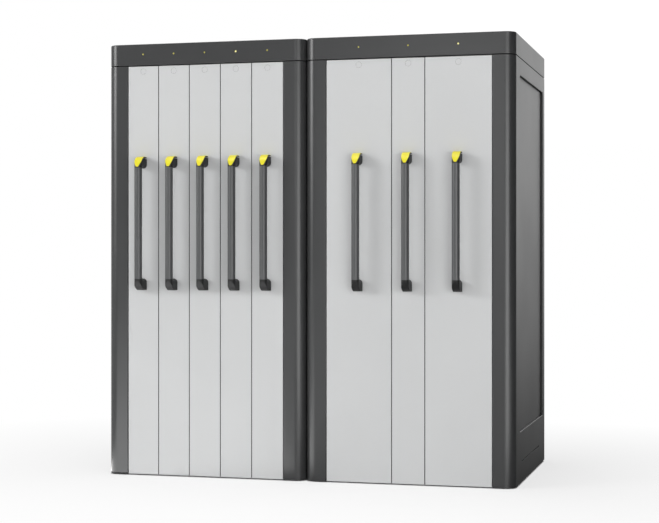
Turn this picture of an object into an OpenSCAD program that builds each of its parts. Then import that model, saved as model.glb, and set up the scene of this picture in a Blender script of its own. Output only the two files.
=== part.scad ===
// Pair of floor-standing tool cabinets with tall pull-outs that run on telescopic slides.
// Sizes are in millimetres. +Z is up and the fronts face -Y.
// The origin lies on the floor, under the middle of the overall box.

/* [Cabinets] */
// Height of a cabinet above the floor
cab_h = 2000; // [1700:1:2300]
// Depth of a cabinet, from the front posts to the rear edge
cab_d = 1020; // [860:1:1200]
// Gap between the two cabinets
cab_gap = 2; // [1:0.5:10]
// Width of a front post
post_w = 99; // [80:1:140]
// Depth of a front post
post_d = 80; // [60:1:120]
// Radius of the upright front corners
corner_r = 48; // [10:1:55]
// Sheet thickness of the sides and headers
wall = 3; // [2:0.5:5]
// Width of the rear flange of a side
rear_flange = 40; // [20:1:80]
// Sheet thickness of the back panels
back_t = 2; // [1:0.5:4]
// Gap between the housing's lower edge and the floor
floor_gap = 4; // [2:0.5:12]

/* [Headers] */
// Height of a header
header_h = 98; // [70:1:150]
// Shadow gap between a header and the sides below it
header_seam = 4; // [1:0.5:10]
// How far a header's lower ledge reaches past the frame that carries it
header_ledge = 10; // [4:1:40]
// Diameter of an indicator lamp's lens
lamp_d = 9; // [5:0.5:16]
// How far a lamp's lens stands proud
lamp_proud = 2; // [0.5:0.5:5]
// Length of a lamp behind the header's face
lamp_l = 25; // [12:1:40]
// Height of the lamps above the header's lower edge
lamp_rise = 50; // [25:1:60]

/* [Side recesses] */
// From the front of the posts to the recess
recess_front = 150; // [130:1:300]
// From the recess to the rear edge
recess_rear = 60; // [50:1:200]
// From the recess up to the upper edge of the side
recess_top = 75; // [40:1:300]
// From the lower edge of the side up to the recess
recess_bottom = 229; // [120:1:500]
// Depth of the recess
recess_depth = 10; // [4:0.5:25]
// Radius of the recess corners
recess_r = 25; // [5:1:80]
// Sheet thickness of the inset plates
inset_t = 2; // [1:0.5:4]
// Rim of an inset plate around its window
inset_rim = 8; // [4:1:12]
// Height of the folded seam above the lower edge of the side
fold_rise = 91; // [40:1:110]
// Length of the folded seam
fold_l = 600; // [200:10:700]
// Height of the folded seam's groove
fold_h = 3; // [1:0.5:6]
// Depth of the folded seam's groove
fold_cut = 1; // [0.5:0.1:1.5]

/* [Fronts] */
// Width of one module, from front to front
front_pitch = 150.5; // [140:0.5:180]
// Gap between neighbouring fronts
front_gap = 3.5; // [2:0.5:8]
// Gap between the outer fronts and the posts
front_reveal = 2.5; // [2:0.5:8]
// How far the fronts lie behind the post faces
front_setback = 3; // [1:1:20]
// Depth of a folded front
front_t = 20; // [16:1:22]
// Sheet thickness of a front
front_sheet = 2; // [1:0.5:3]
// Width of the inward folds at the rear of a front
front_lip = 20; // [12:1:30]
// Radius of a front's upright edges
front_r = 1.5; // [1:0.5:6]
// Gap between a front and the header above it
front_top_gap = 5; // [3:0.5:12]
// Gap between a front and the floor
front_floor_gap = 5; // [4:0.5:15]
// Diameter of the round cover plug
plug_d = 27; // [16:1:40]
// From the upper edge of a front down to the middle of its plug
plug_drop = 24; // [22:1:60]
// Gap around the cover plug
plug_gap = 0.5; // [0.2:0.1:1]

/* [Handles] */
// Length of a handle with its end caps
handle_len = 616; // [400:1:900]
// Height of a handle's lower end above the floor
handle_low = 860; // [500:1:1000]
// Diameter of the handle tube
handle_d = 35; // [24:0.5:40]
// Wall of the handle tube
handle_wall = 2.5; // [1.5:0.5:4]
// From the face of a front to the axis of its handle tube
handle_out = 63; // [50:0.5:80]
// Width of an end cap
cap_w = 36; // [25:0.5:44]
// Length of the flat outer end of a cap, before its rounded nose
cap_flat = 33; // [22:1:40]
// How far a cap's nose bulges beyond a straight slope
cap_bulge = 10; // [4:0.5:13]
// Height of a cap's foot on the front
cap_leg = 53; // [44:1:60]
// From the outer end of a cap to the end of its collar
cap_end = 68; // [64:1:90]
// Radius of the inner bend of a cap
cap_bend = 12; // [6:1:15]
// Length of the spigot in the handle tube
spigot_l = 25; // [12:1:50]
// Clearance between spigot and tube
spigot_clear = 0.3; // [0.1:0.1:0.5]
// Diameter of the handle screws
screw_d = 8; // [5:1:10]
// Depth of the handle screws in a cap
screw_l = 18; // [12:1:22]
// Clearance around the handle screws
screw_clear = 0.3; // [0.2:0.1:0.6]

/* [Release buttons] */
// Thickness of a button
button_t = 6; // [4:0.5:8]
// Room under a button for its travel
button_room = 3.4; // [2.5:0.1:5]
// From a button's ends to the front and to the cap below it
button_gap = 3; // [2.5:0.1:6]
// Diameter of a button's stem
stem_d = 10; // [6:0.5:12]
// Length of the stem in its guide
stem_l = 15; // [10:1:18]
// Clearance between stem and guide
stem_clear = 0.1; // [0.05:0.05:0.3]

/* [Carriages] */
// How much narrower a carriage is than its front, on each side
carriage_inset = 6; // [3:0.5:12]
// Depth of an upright
upright_d = 30; // [20:1:50]
// Wall of an upright
upright_wall = 2; // [1.5:0.5:4]
// Number of shelves in a carriage
shelf_count = 3; // [2:1:6]
// Sheet thickness of the shelves
shelf_sheet = 2; // [1:0.5:3]
// Height of a shelf's folded edge
shelf_edge = 24; // [12:1:40]
// Diameter of a retaining bar
bar_d = 8; // [5:0.5:12]
// Height of a retaining bar above its shelf
bar_rise = 70; // [30:1:100]
// From the side of a carriage to the middle of its retaining bar
bar_inset = 6; // [6:0.5:12]
// Thickness of the plate on top of a carriage
top_plate_t = 4; // [2:0.5:8]

/* [Telescopic slides] */
// Width of a rail
rail_w = 46; // [40:1:60]
// Height of a rail
rail_h = 16; // [14:1:24]
// Wall of a rail
rail_wall = 3; // [2:0.5:4]
// Width of the lips that hold the middle member
rail_lip = 6; // [4:0.5:8]
// Gap between a fixed rail and the carriage rail
rail_gap = 4; // [3:0.5:10]
// Running clearance of the middle member
rail_clear = 0.4; // [0.2:0.1:0.6]
// From the ends of a carriage to its rails
rail_inset = 12; // [5:1:40]

/* [Base and head frames] */
// Height of the base frame's upper face above the floor
base_top = 60; // [50:1:120]
// Height of the base frame
base_h = 40; // [25:1:44]
// From the upper edge of the sides down to the head frame
head_drop = 48; // [30:1:90]
// Sheet thickness of the frames
frame_sheet = 3; // [2:0.5:5]
// Gap between the fronts and the frames behind them
frame_gap = 3; // [1:0.5:10]

/* [Locks and electrics] */
// Diameter of a lock magnet
magnet_d = 60; // [40:1:80]
// Length of a lock magnet
magnet_l = 40; // [25:1:60]
// Height of the lock magnets above the floor
magnet_rise = 1000; // [400:1:1500]
// Gap between a magnet and its lock plate
magnet_gap = 0.3; // [0.2:0.1:0.6]
// Thickness of a lock plate
lock_plate_t = 6; // [4:1:12]
// Diameter of a lock plate
lock_plate_d = 70; // [40:1:90]
// Width of a control unit
control_w = 300; // [150:1:400]
// Depth of a control unit
control_d = 200; // [100:1:300]
// Height of a control unit
control_h = 60; // [30:1:80]
// Diameter of a cable grommet in its hole
grommet_d = 20; // [12:1:40]
// Width of a closed grommet's lips around its hole
grommet_lip = 4; // [2:0.5:8]
// Thickness of a grommet's lips
grommet_lip_t = 1.5; // [0.5:0.5:1.5]

/* [Feet and fasteners] */
// Diameter of a levelling foot
foot_d = 60; // [40:1:80]
// Thickness of a foot's pad
foot_h = 6; // [4:1:12]
// Diameter of a foot's stem
foot_stem_d = 16; // [10:1:20]
// Wall of the bosses that hold the feet
boss_wall = 7; // [4:1:12]
// From the edges of the base frame to the middle of a foot
foot_inset = 50; // [45:1:120]
// Clearance between a foot's stem and its boss
foot_clear = 0.3; // [0.1:0.1:0.5]
// Diameter of the bolts that join the cabinets
bolt_d = 10; // [6:1:12]
// From the upper and lower edges of the sides to the outer bolts
bolt_end = 200; // [100:1:400]
// Height of the bolt heads and nuts
bolt_head_h = 7; // [5:1:9]
// Clearance in the bolt and screw holes
hole_clear = 0.4; // [0.2:0.1:0.8]
// Diameter of the back panel screws
panel_screw_d = 5; // [3:0.5:6]
// Height of the back panel screws' heads
panel_head_h = 1.8; // [1:0.1:1.9]
// Number of back panel screws in a row
panel_screw_count = 4; // [2:1:8]
// Diameter of the wall anchor holes
anchor_d = 9; // [6:0.5:14]
// Distance between the two wall anchor holes of a cabinet
anchor_pitch = 600; // [300:10:700]
// From the head frame down to the anchor holes and grommets
anchor_drop = 60; // [30:1:150]

/* [Hidden] */
$fn = 64;
// Overlap that joins two shapes of one piece, or runs a cut past a face
joint_over = 1;
// Gap at the faces where two separate pieces of one assembly are seated
seat = 0.1;

// Modules that each front takes, for the left and the right cabinet
layout = [[1, 1, 1, 1, 1], [2, 1, 2]];
function total(v, n) = n <= 0 ? 0 : v[n - 1] + total(v, n - 1);
// Cabinet, modules to the left, and own modules of every pull-out
pullouts = [
    for (c = [0, 1]) for (i = [0 : len(layout[c]) - 1]) [c, total(layout[c], i), layout[c][i]]
];
module_count = total(layout[0], len(layout[0]));
last = len(pullouts) - 1;

// Plan of the cabinets
opening_w = module_count * front_pitch - front_gap + 2 * front_reveal;
cab_w = opening_w + 2 * post_w;
handle_reach = handle_out + cap_w / 2 - front_setback;
face_y = (handle_reach - cab_d) / 2;
back_y = cab_d - wall - back_t;
side_room = recess_depth + inset_t + joint_over;
frame_front = front_setback + front_t + frame_gap;
header_lip = frame_front + frame_sheet + header_ledge;
function cab_x(c) = c * (cab_w + cab_gap) - cab_w - cab_gap / 2;
function front_w(n) = pullouts[n][2] * front_pitch - front_gap;
function front_x(n) = cab_x(pullouts[n][0]) + post_w + front_reveal
    + pullouts[n][1] * front_pitch + front_w(n) / 2;
function carriage_w(n) = front_w(n) - 2 * carriage_inset;

// Heights
header_z = cab_h - header_h;
body_top = header_z - header_seam;
head_z = body_top - head_drop;
front_h = header_z - front_top_gap - front_floor_gap;
handle_top = handle_low + handle_len;
lamp_z = header_z + lamp_rise;
anchor_z = head_z - anchor_drop;
rail_stack = 2 * rail_h + rail_gap;
floor_z = base_top + rail_stack;
floor_top = floor_z + shelf_sheet;
beam_z = head_z - rail_stack - top_plate_t;
bay_h = (beam_z - floor_top) / shelf_count;

// Depths, from the face of the posts
front_y = front_setback;
carriage_front = front_setback + front_t;
carriage_rear = back_y - magnet_l - magnet_gap - lock_plate_t;
shelf_front = carriage_front + upright_d;
shelf_rear = carriage_rear - upright_d;
rail_l = carriage_rear - carriage_front - 2 * rail_inset;

// End caps, measured outwards from the front and down from the cap's outer end
cap_out = handle_out + cap_w / 2;
nose_drop = cap_out - cap_flat;
nose_angle = 45;
nose_chord = nose_drop / sin(nose_angle);
nose_r = nose_chord * nose_chord / (8 * cap_bulge) + cap_bulge / 2;
nose_axis_in = (nose_r - cap_bulge) * sin(nose_angle);
nose_axis_out = (cap_flat + cap_out) / 2 - nose_axis_in;
nose_axis_down = nose_drop / 2 + nose_axis_in;
screw_head_d = 1.6 * screw_d;
screw_head_h = screw_d / 2;

foot_spots = [
    for (x = [side_room + foot_inset, cab_w - side_room - foot_inset])
        for (y = [post_d + foot_inset, back_y - foot_inset]) [x, y]
];
bolt_spots = [
    for (y = [(post_d + recess_front) / 2, (cab_d - recess_rear + back_y) / 2])
        for (z = [floor_gap + bolt_end, (floor_gap + body_top) / 2, body_top - bolt_end]) [y, z]
];
bolt_head_d = 1.7 * bolt_d;
panel_head_d = 2 * panel_screw_d;
panel_screw_rows = [base_top - base_h / 2, head_z + (header_z - head_z) / 2];
panel_screw_spots = [
    for (i = [0 : panel_screw_count - 1])
        side_room + foot_inset + i * (cab_w - 2 * side_room - 2 * foot_inset) / (panel_screw_count - 1)
];

paint_dark = "#55585a";
paint_light = "#d2d4d4";
zinc = "#aeb2b5";
black = "#222426";
yellow = "#f4e22a";

numbers = [for (n = [0 : last]) n + 1];

// Places its children in the frame of one cabinet: x from its left side, y from its posts
module in_cabinet(c) {
    translate([cab_x(c), face_y, 0]) children();
}

// Places its children at the middle of one pull-out, y from the posts
module in_pullout(n) {
    translate([front_x(n), face_y, 0]) children();
}

// Extrudes an outline drawn as depth and height sideways, from x = 0 to w
module sideways(w) {
    rotate([90, 0, 90]) linear_extrude(w) children();
}

// Extrudes an outline drawn as width and height backwards, from y = 0 to l
module backwards(l) {
    translate([0, l, 0]) rotate([90, 0, 0]) linear_extrude(l) children();
}

// Round bar along y, from y = 0 to l
module bar_y(d, l) {
    translate([0, l, 0]) rotate([90, 0, 0]) cylinder(d = d, h = l);
}

module rounded_rect(w, h, r) {
    translate([r, 0]) square([w - 2 * r, h]);
    translate([0, r]) square([w, h - 2 * r]);
    for (x = [r, w - r]) for (y = [r, h - r]) translate([x, y]) circle(r);
}

// Plan of a front post, rounded at its outer corner and drawn in by a margin
module post_plan(margin) {
    w = post_w - margin;
    d = post_d - margin;
    translate([corner_r, margin]) square([w - corner_r, d - margin]);
    translate([margin, corner_r]) square([corner_r - margin + joint_over, d - corner_r]);
    intersection() {
        translate([corner_r, corner_r]) circle(corner_r - margin);
        square(corner_r + joint_over);
    }
}

// Plan of a left-hand side: hollow post, wall and rear flange
module side_plan() {
    difference() {
        post_plan(0);
        post_plan(wall);
    }
    translate([0, post_d - wall]) square([wall, cab_d - post_d + wall]);
    translate([0, cab_d - wall]) square([rear_flange, wall]);
}

// Window in a side, grown by a rim
module recess_outline(rim) {
    w = cab_d - recess_front - recess_rear + 2 * rim;
    h = body_top - floor_gap - recess_top - recess_bottom + 2 * rim;
    translate([recess_front - rim, floor_gap + recess_bottom - rim]) rounded_rect(w, h, recess_r + rim);
}

module side_shell(joined) {
    difference() {
        union() {
            translate([0, 0, floor_gap]) linear_extrude(body_top - floor_gap) side_plan();
            sideways(recess_depth) recess_outline(wall);
        }
        translate([-joint_over, 0, 0]) sideways(recess_depth + 2 * joint_over) recess_outline(0);
        translate([-joint_over, (cab_d - fold_l) / 2, floor_gap + fold_rise])
            cube([fold_cut + joint_over, fold_l, fold_h]);
        if (joined)
            for (s = bolt_spots)
                translate([-joint_over, s[0], s[1]])
                    rotate([0, 90, 0]) cylinder(d = bolt_d + hole_clear, h = wall + 2 * joint_over);
    }
}

module inset_plate() {
    translate([recess_depth, 0, 0]) sideways(inset_t) recess_outline(inset_rim);
}

// Puts a left-hand piece on the left (0) or right (1) side of a cabinet
module on_side(c, side) {
    in_cabinet(c) translate([side * cab_w, 0, 0]) mirror([side, 0, 0]) children();
}

module left_outer_side() { color(paint_dark) on_side(0, 0) side_shell(false); }
module left_inner_side() { color(paint_dark) on_side(0, 1) side_shell(true); }
module right_inner_side() { color(paint_dark) on_side(1, 0) side_shell(true); }
module right_outer_side() { color(paint_dark) on_side(1, 1) side_shell(false); }

module side_insets() {
    color(paint_dark) for (c = [0, 1]) for (side = [0, 1]) on_side(c, side) inset_plate();
}

// Plan of a cabinet with its rounded front corners, drawn in by a margin
module cabinet_plan(margin) {
    w = cab_w - margin;
    d = cab_d - margin;
    translate([margin, corner_r]) square([w - margin, d - corner_r]);
    translate([corner_r, margin]) square([cab_w - 2 * corner_r, corner_r]);
    for (x = [corner_r, cab_w - corner_r]) translate([x, corner_r]) circle(corner_r - margin);
}

module top_cover(c) {
    color(paint_dark) difference() {
        in_cabinet(c) translate([0, 0, header_z]) difference() {
            linear_extrude(header_h) cabinet_plan(0);
            translate([0, 0, wall]) linear_extrude(header_h - 2 * wall) cabinet_plan(wall);
            translate([header_lip, header_lip, -joint_over])
                cube([cab_w - 2 * header_lip, cab_d - 2 * header_lip, wall + 2 * joint_over]);
        }
        for (n = [0 : last]) if (pullouts[n][0] == c)
            in_pullout(n) translate([0, -joint_over, lamp_z]) bar_y(lamp_d + hole_clear, wall + 2 * joint_over);
    }
}

module left_top_cover() { top_cover(0); }
module right_top_cover() { top_cover(1); }

// Spots of the back panel screws on one cabinet, as rows of holes or screws
module at_panel_screws() {
    for (x = panel_screw_spots) for (z = panel_screw_rows) translate([x, 0, z]) children();
}

module back_panel(c) {
    color(paint_dark) in_cabinet(c) translate([0, back_y, 0]) difference() {
        translate([wall, 0, floor_gap]) cube([cab_w - 2 * wall, back_t, body_top - floor_gap]);
        translate([0, -joint_over, 0]) {
            at_panel_screws() bar_y(panel_screw_d + hole_clear, back_t + 2 * joint_over);
            for (x = [-anchor_pitch / 2, anchor_pitch / 2])
                translate([cab_w / 2 + x, 0, anchor_z]) bar_y(anchor_d, back_t + 2 * joint_over);
            translate([cab_w / 2, 0, anchor_z])
                bar_y(grommet_d + hole_clear, back_t + 2 * joint_over);
        }
    }
}

module left_back_panel() { back_panel(0); }
module right_back_panel() { back_panel(1); }

// Plan of a frame that fits between the posts and behind them, drawn in by a margin
module frame_plan(margin) {
    translate([post_w + margin, frame_front + margin])
        square([opening_w - 2 * margin, post_d - frame_front + joint_over]);
    translate([side_room + margin, post_d + margin])
        square([cab_w - 2 * side_room - 2 * margin, back_y - post_d - 2 * margin]);
}

module frame_screw_holes() {
    translate([0, back_y - frame_sheet - joint_over, 0])
        at_panel_screws() bar_y(panel_screw_d + hole_clear, frame_sheet + 2 * joint_over);
}

module base_frame(c) {
    boss_h = base_h - frame_sheet + joint_over;
    color(paint_dark) in_cabinet(c) difference() {
        union() {
            translate([0, 0, base_top - base_h]) difference() {
                linear_extrude(base_h) frame_plan(0);
                translate([0, 0, -joint_over]) linear_extrude(base_h - frame_sheet + joint_over)
                    frame_plan(frame_sheet);
            }
            for (s = foot_spots)
                translate([s[0], s[1], base_top - base_h])
                    cylinder(d = foot_stem_d + 2 * boss_wall, h = boss_h);
        }
        for (s = foot_spots)
            translate([s[0], s[1], base_top - base_h - joint_over])
                cylinder(d = foot_stem_d + 2 * foot_clear, h = base_h - frame_sheet + joint_over);
        frame_screw_holes();
    }
}

module left_base_frame() { base_frame(0); }
module right_base_frame() { base_frame(1); }

module head_frame(c) {
    head_h = header_z - head_z;
    color(paint_dark) in_cabinet(c) difference() {
        translate([0, 0, head_z]) difference() {
            linear_extrude(head_h) frame_plan(0);
            translate([0, 0, frame_sheet]) linear_extrude(head_h) frame_plan(frame_sheet);
        }
        frame_screw_holes();
    }
}

module left_head_frame() { head_frame(0); }
module right_head_frame() { head_frame(1); }

// Section of a rail with two lips, open upwards
module rail_section() {
    slot_w = rail_w - 2 * rail_wall - 2 * rail_lip;
    difference() {
        translate([-rail_w / 2, 0]) square([rail_w, rail_h]);
        translate([-rail_w / 2 + rail_wall, rail_wall])
            square([rail_w - 2 * rail_wall, rail_h - 2 * rail_wall]);
        translate([-slot_w / 2, rail_h - rail_wall - joint_over])
            square([slot_w, rail_wall + 2 * joint_over]);
    }
}

// Section of the middle member: a flange in each rail and the web between them
module middle_section() {
    flange_w = rail_w - 2 * rail_wall - 2 * rail_clear;
    flange_h = rail_h - 2 * rail_wall - 2 * rail_clear;
    web_w = rail_w - 2 * rail_wall - 2 * rail_lip - 2 * rail_clear;
    low = rail_wall + rail_clear;
    for (z = [low, rail_stack - low - flange_h])
        translate([-flange_w / 2, z]) square([flange_w, flange_h]);
    translate([-web_w / 2, low]) square([web_w, rail_stack - 2 * low]);
}

// Places rails under one another: the lower pair at the base, the upper pair at the head
module along_rail(z) {
    translate([0, carriage_front + rail_inset, z]) backwards(rail_l) children();
}

module fixed_rails() {
    color(zinc) for (n = [0 : last]) in_pullout(n) {
        along_rail(base_top) rail_section();
        along_rail(head_z) mirror([0, 1]) rail_section();
    }
}

module slide_rail(n) {
    color(zinc) in_pullout(n) {
        along_rail(base_top) middle_section();
        along_rail(head_z - rail_stack) middle_section();
    }
}

module indicator_lamps() {
    color(yellow) for (n = [0 : last]) in_pullout(n) translate([0, 0, lamp_z]) {
        translate([0, -lamp_proud, 0]) bar_y(lamp_d, lamp_proud + lamp_l);
        translate([0, wall, 0]) bar_y(lamp_d + 2 * wall, wall);
    }
}

module holding_magnets() {
    flange_t = lock_plate_t;
    color(zinc) for (n = [0 : last]) in_pullout(n) translate([0, back_y - magnet_l, magnet_rise]) {
        bar_y(magnet_d, magnet_l);
        translate([0, magnet_l - flange_t, 0]) bar_y(magnet_d + 2 * flange_t, flange_t);
    }
}

module control_units() {
    color(zinc) for (c = [0, 1]) in_cabinet(c)
        translate([(cab_w - control_w) / 2, (cab_d - control_d) / 2, head_z + frame_sheet])
            cube([control_w, control_d, control_h]);
}

module cable_grommets() {
    lip_d = grommet_d + 2 * grommet_lip;
    color(black) for (c = [0, 1]) in_cabinet(c)
        translate([cab_w / 2, back_y - grommet_lip_t, anchor_z]) {
            bar_y(grommet_d, back_t + 2 * grommet_lip_t);
            for (y = [0, back_t + grommet_lip_t]) translate([0, y, 0]) bar_y(lip_d, grommet_lip_t);
        }
}

module levelling_feet() {
    stem_top = base_top - frame_sheet - joint_over;
    color(black) for (c = [0, 1]) in_cabinet(c) for (s = foot_spots) translate([s[0], s[1], 0]) {
        cylinder(d = foot_d, h = foot_h);
        cylinder(d = foot_stem_d, h = stem_top);
    }
}

// Bolt through the two inner sides, with its head, its nut and the spacer between the cabinets
module connector_bolt() {
    grip = cab_gap + 2 * wall;
    rotate([0, 90, 0]) {
        translate([0, 0, -grip / 2 - bolt_head_h]) cylinder(d = bolt_d, h = grip + 2 * bolt_head_h);
        for (z = [-grip / 2 - bolt_head_h, grip / 2])
            translate([0, 0, z]) cylinder(d = bolt_head_d, h = bolt_head_h);
        translate([0, 0, -cab_gap / 2]) cylinder(d = bolt_head_d, h = cab_gap);
    }
}

module panel_screw() {
    grip = back_t + frame_sheet;
    translate([0, -frame_sheet - panel_screw_d, 0]) bar_y(panel_screw_d, grip + panel_screw_d);
    translate([0, back_t, 0]) bar_y(panel_head_d, panel_head_h);
}

module cabinet_fasteners() {
    color(zinc) {
        for (s = bolt_spots) translate([0, face_y + s[0], s[1]]) connector_bolt();
        for (c = [0, 1]) in_cabinet(c) translate([0, back_y, 0]) at_panel_screws() panel_screw();
    }
}

// Plan of a front, with its upright front edges rounded
module front_plan(w) {
    translate([-w / 2, front_r]) square([w, front_t - front_r]);
    translate([-w / 2 + front_r, 0]) square([w - 2 * front_r, front_t]);
    for (x = [-w / 2 + front_r, w / 2 - front_r]) translate([x, front_r]) circle(front_r);
}

// Spots of the handle screws, y from the face of the front
module at_handle_screws() {
    for (z = [handle_low + cap_leg / 2, handle_top - cap_leg / 2]) translate([0, 0, z]) children();
}

module front(n) {
    w = front_w(n);
    fold = front_sheet + front_lip;
    plug_z = front_floor_gap + front_h - plug_drop;
    color(paint_light) in_pullout(n) translate([0, front_y, 0]) {
        difference() {
            translate([0, 0, front_floor_gap]) linear_extrude(front_h) front_plan(w);
            translate([-w / 2 + front_sheet, front_sheet, front_floor_gap + front_sheet])
                cube([w - 2 * front_sheet, front_t - 2 * front_sheet, front_h - 2 * front_sheet]);
            translate([-w / 2 + fold, front_t - front_sheet - joint_over, front_floor_gap + fold])
                cube([w - 2 * fold, front_sheet + 2 * joint_over, front_h - 2 * fold]);
            translate([0, -joint_over, 0]) {
                at_handle_screws() bar_y(screw_d + screw_clear, front_sheet + 2 * joint_over);
                translate([0, 0, plug_z]) bar_y(plug_d, front_sheet + 2 * joint_over);
            }
        }
        translate([0, 0, plug_z]) {
            bar_y(plug_d - 2 * plug_gap, 2 * front_sheet);
            translate([0, front_sheet + seat, 0]) bar_y(plug_d + 2 * front_sheet, front_sheet);
        }
    }
}

// Plan of an end cap: straight at the front, round around the tube
module cap_plan() {
    translate([-cap_w / 2, -handle_out]) square([cap_w, handle_out]);
    translate([0, -handle_out]) circle(d = cap_w);
}

// Elbow of an end cap, downwards from its outer end: a round foot, a collar and the bend between
// them, whose ends lie inside the two
module cap_elbow() {
    bend = cap_w / 2 + cap_bend;
    axis_drop = cap_leg - cap_w / 2;
    translate([0, 0, -axis_drop]) linear_extrude(axis_drop) cap_plan();
    translate([0, -handle_out, -axis_drop]) bar_y(cap_w, handle_out);
    translate([0, bend - handle_out, -axis_drop - bend]) rotate([90, 0, -90])
        rotate_extrude(angle = 90) translate([bend, 0]) circle(d = cap_w - 2 * seat);
    translate([0, -handle_out, -cap_end]) cylinder(d = cap_w, h = cap_end);
}

// Side view of what lies a depth under the flat end and the rounded nose of a cap
module under_nose(depth) {
    reach = cap_out + cap_end;
    translate([-reach, -reach]) square([nose_axis_out + reach, reach - depth]);
    intersection() {
        translate([nose_axis_out, -nose_axis_down]) circle(nose_r - depth);
        translate([0, -reach]) square([reach, reach - depth]);
    }
}

// Everything beyond that depth, down to a margin below the end of the nose
module beyond_nose(depth, margin) {
    low = nose_drop + margin;
    rotate([90, 0, -90]) linear_extrude(cap_w + 2 * joint_over, center = true) difference() {
        translate([-joint_over, -low]) square([cap_out + 2 * joint_over, low + 2 * joint_over]);
        under_nose(depth);
    }
}

// Looks square into the middle of the nose, with z going in
module into_nose() {
    middle = nose_r * sin(nose_angle);
    translate([0, -nose_axis_out - middle, middle - nose_axis_down])
        rotate([-90 - nose_angle, 0, 0]) children();
}

// Adds the spigot to an end cap and drills it for its screw
module cap_fittings() {
    difference() {
        union() {
            children();
            translate([0, -handle_out, -cap_end - spigot_l])
                cylinder(d = handle_d - 2 * handle_wall - 2 * spigot_clear, h = spigot_l + joint_over);
        }
        translate([0, -screw_l - joint_over, -cap_leg / 2])
            bar_y(screw_d + screw_clear, screw_l + 2 * joint_over);
    }
}

module upper_cap() {
    guide_start = button_t + button_room;
    cap_fittings() difference() {
        cap_elbow();
        beyond_nose(guide_start, joint_over + button_gap);
        into_nose() translate([0, 0, guide_start - joint_over])
            cylinder(d = stem_d + 2 * stem_clear, h = stem_l + button_room + joint_over);
    }
}

module lower_cap() {
    mirror([0, 0, 1]) cap_fittings() difference() {
        cap_elbow();
        beyond_nose(0, joint_over);
    }
}

module handle_screw() {
    translate([0, -screw_l, 0]) bar_y(screw_d, screw_l + front_sheet);
    translate([0, front_sheet, 0]) bar_y(screw_head_d, screw_head_h);
}

module handle(n) {
    color(black) in_pullout(n) translate([0, front_y, 0]) {
        translate([0, -handle_out, handle_low + cap_end + seat]) difference() {
            tube_l = handle_len - 2 * cap_end - 2 * seat;
            tube_bore = handle_d - 2 * handle_wall;
            cylinder(d = handle_d, h = tube_l);
            translate([0, 0, -joint_over]) cylinder(d = tube_bore, h = tube_l + 2 * joint_over);
        }
        translate([0, 0, handle_top]) upper_cap();
        translate([0, 0, handle_low]) lower_cap();
        at_handle_screws() handle_screw();
    }
}

module release_button(n) {
    color(yellow) in_pullout(n) translate([0, front_y, handle_top]) {
        difference() {
            intersection() {
                translate([0, 0, -cap_end]) linear_extrude(cap_end + joint_over) difference() {
                    cap_plan();
                    translate([-cap_w, -button_gap]) square([2 * cap_w, button_gap + joint_over]);
                }
                beyond_nose(button_t, joint_over);
            }
            beyond_nose(0, 2 * joint_over);
        }
        into_nose() translate([0, 0, button_t - joint_over])
            cylinder(d = stem_d, h = joint_over + stem_l);
    }
}

// Floor of a carriage: a plate with its two long edges folded down beside the rail
module carriage_floor(w) {
    l = carriage_rear - carriage_front;
    translate([-w / 2, carriage_front, floor_z + seat]) cube([w, l, shelf_sheet - seat]);
    for (x = [-w / 2, w / 2 - shelf_sheet])
        translate([x, carriage_front, floor_z - rail_h]) cube([shelf_sheet, l, rail_h + joint_over]);
}

module upright(w) {
    h = beam_z - floor_top - 2 * seat;
    translate([-w / 2, 0, floor_top + seat]) difference() {
        cube([w, upright_d, h]);
        translate([upright_wall, upright_wall, -joint_over])
            cube([w - 2 * upright_wall, upright_d - 2 * upright_wall, h + 2 * joint_over]);
    }
}

// Shelf with its edges folded down, between the uprights
module shelf(w) {
    l = shelf_rear - shelf_front - 2 * seat;
    translate([-w / 2, shelf_front + seat, -shelf_edge]) difference() {
        cube([w, l, shelf_edge]);
        translate([shelf_sheet, shelf_sheet, -joint_over])
            cube([w - 2 * shelf_sheet, l - 2 * shelf_sheet, shelf_edge - shelf_sheet + joint_over]);
    }
}

module carriage(n) {
    w = carriage_w(n);
    color(paint_light) in_pullout(n) {
        carriage_floor(w);
        for (y = [carriage_front, shelf_rear]) translate([0, y, 0]) upright(w);
        for (i = [1 : shelf_count - 1]) translate([0, 0, floor_top + i * bay_h]) shelf(w);
        for (i = [0 : shelf_count - 1]) for (x = [-w / 2 + bar_inset, w / 2 - bar_inset])
            translate([x, shelf_front + seat, floor_top + i * bay_h + bar_rise])
                bar_y(bar_d, shelf_rear - shelf_front - 2 * seat);
        translate([-w / 2, carriage_front, beam_z])
            cube([w, carriage_rear - carriage_front, top_plate_t - seat]);
        along_rail(floor_z) mirror([0, 1]) rail_section();
        along_rail(head_z - rail_stack) rail_section();
        translate([0, carriage_rear + seat, magnet_rise]) bar_y(lock_plate_d, lock_plate_t - seat);
    }
}

left_outer_side();
left_inner_side();
right_inner_side();
right_outer_side();
side_insets();
left_top_cover();
right_top_cover();
left_back_panel();
right_back_panel();
left_base_frame();
right_base_frame();
left_head_frame();
right_head_frame();
fixed_rails();
indicator_lamps();
holding_magnets();
control_units();
cable_grommets();
levelling_feet();
cabinet_fasteners();
for (n = [0 : last]) {
    front(n);
    handle(n);
    release_button(n);
    carriage(n);
    slide_rail(n);
}
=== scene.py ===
import math

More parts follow.
